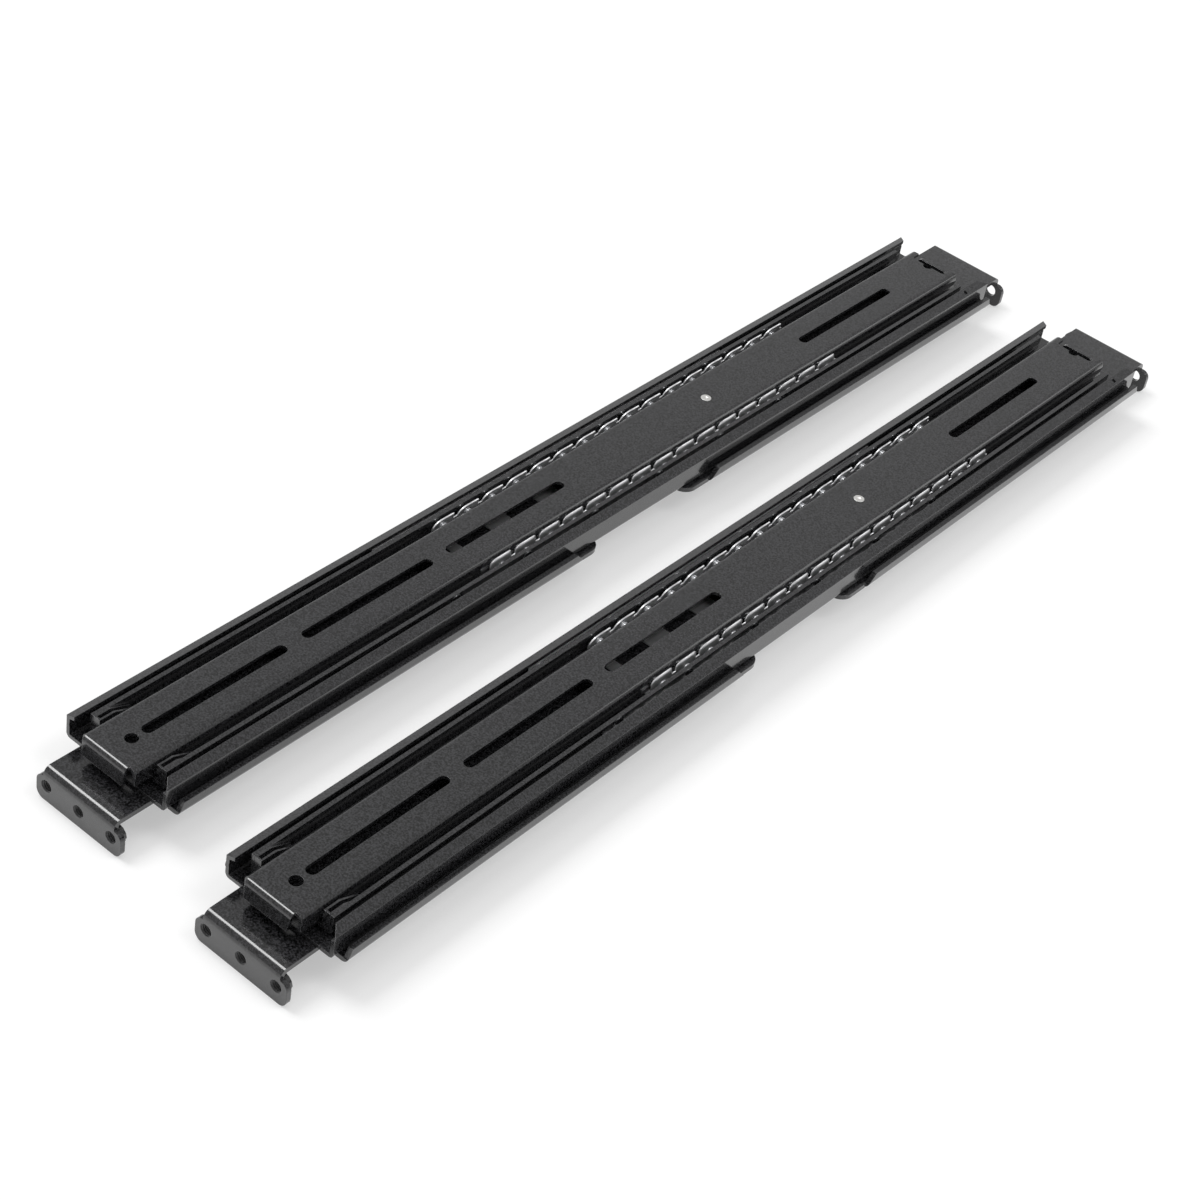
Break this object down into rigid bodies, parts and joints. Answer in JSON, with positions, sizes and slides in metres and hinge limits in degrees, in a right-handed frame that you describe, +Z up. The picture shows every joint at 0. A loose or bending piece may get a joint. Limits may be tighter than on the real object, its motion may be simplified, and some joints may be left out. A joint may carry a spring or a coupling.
{
  "type": "sliding server rail pair",
  "caption": "Pair of black three-section ball-bearing server slides with rack brackets, an adjustable rear flange and a slotted inner member.",
  "frame": {"origin": "on the surface under the pair, in the middle of its length and width", "axes": "+Y along the rails towards the rear flange, +Z up from the surface, +X from the left rail to the right"},
  "size_m": [0.1386, 0.5458, 0.0264],
  "materials": {
    "black_paint": "semi-gloss black coat on cold-rolled steel",
    "zinc_plate": "bright zinc plate",
    "bright_steel": "polished bearing steel"
  },
  "bodies": {
    "fixed_members": {"left_outer_member": "black_paint", "left_front_bracket": "black_paint", "left_rear_studs": "zinc_plate", "left_rear_nuts": "zinc_plate", "right_outer_member": "black_paint", "right_front_bracket": "black_paint", "right_rear_studs": "zinc_plate", "right_rear_nuts": "zinc_plate"},
    "left_intermediate": {"left_intermediate_member": "black_paint", "left_front_stops": "black_paint"},
    "left_inner": {"left_inner_member": "black_paint", "left_latch_rivet": "zinc_plate"},
    "left_inner_cage": {"left_inner_retainer": "zinc_plate", "left_inner_balls": "bright_steel"},
    "left_outer_cage": {"left_outer_retainer": "zinc_plate", "left_outer_balls": "bright_steel"},
    "left_rear": {"left_rear_bracket": "black_paint"},
    "left_latch": {"left_stop_latch": "zinc_plate"},
    "right_intermediate": {"right_intermediate_member": "black_paint", "right_front_stops": "black_paint"},
    "right_inner": {"right_inner_member": "black_paint", "right_latch_rivet": "zinc_plate"},
    "right_inner_cage": {"right_inner_retainer": "zinc_plate", "right_inner_balls": "bright_steel"},
    "right_outer_cage": {"right_outer_retainer": "zinc_plate", "right_outer_balls": "bright_steel"},
    "right_rear": {"right_rear_bracket": "black_paint"},
    "right_latch": {"right_stop_latch": "zinc_plate"}
  },
  "joints": [
    {"name": "left_intermediate_slide", "type": "slide", "parent": "fixed_members", "child": "left_intermediate", "axis": [0, -1, 0], "range_m": [0, 0.25]},
    {"name": "left_inner_slide", "type": "slide", "parent": "left_intermediate", "child": "left_inner", "axis": [0, -1, 0], "range_m": [0, 0.296]},
    {"name": "left_outer_cage_roll", "type": "slide", "parent": "fixed_members", "child": "left_outer_cage", "axis": [0, -1, 0], "range_m": [0, 0.125]},
    {"name": "left_inner_cage_roll", "type": "slide", "parent": "left_intermediate", "child": "left_inner_cage", "axis": [0, -1, 0], "range_m": [0, 0.148]},
    {"name": "left_depth_adjustment", "type": "slide", "parent": "fixed_members", "child": "left_rear", "axis": [0, 1, 0], "range_m": [0, 0.12]},
    {"name": "left_latch_flex", "type": "hinge", "parent": "left_inner", "child": "left_latch", "pos_m": [-0.04125, 0.0679, 0.0243], "axis": [-1, 0, 0], "range_deg": [0, 4]},
    {"name": "right_intermediate_slide", "type": "slide", "parent": "fixed_members", "child": "right_intermediate", "axis": [0, -1, 0], "range_m": [0, 0.25]},
    {"name": "right_inner_slide", "type": "slide", "parent": "right_intermediate", "child": "right_inner", "axis": [0, -1, 0], "range_m": [0, 0.296]},
    {"name": "right_outer_cage_roll", "type": "slide", "parent": "fixed_members", "child": "right_outer_cage", "axis": [0, -1, 0], "range_m": [0, 0.125]},
    {"name": "right_inner_cage_roll", "type": "slide", "parent": "right_intermediate", "child": "right_inner_cage", "axis": [0, -1, 0], "range_m": [0, 0.148]},
    {"name": "right_depth_adjustment", "type": "slide", "parent": "fixed_members", "child": "right_rear", "axis": [0, 1, 0], "range_m": [0, 0.12]},
    {"name": "right_latch_flex", "type": "hinge", "parent": "right_inner", "child": "right_latch", "pos_m": [0.04125, 0.0629, 0.0243], "axis": [-1, 0, 0], "range_deg": [0, 4]}
  ],
  "couplings": [
    {"joint": "left_outer_cage_roll", "follows": "left_intermediate_slide", "ratio": 0.5},
    {"joint": "left_inner_cage_roll", "follows": "left_inner_slide", "ratio": 0.5},
    {"joint": "right_outer_cage_roll", "follows": "right_intermediate_slide", "ratio": 0.5},
    {"joint": "right_inner_cage_roll", "follows": "right_inner_slide", "ratio": 0.5}
  ]
}
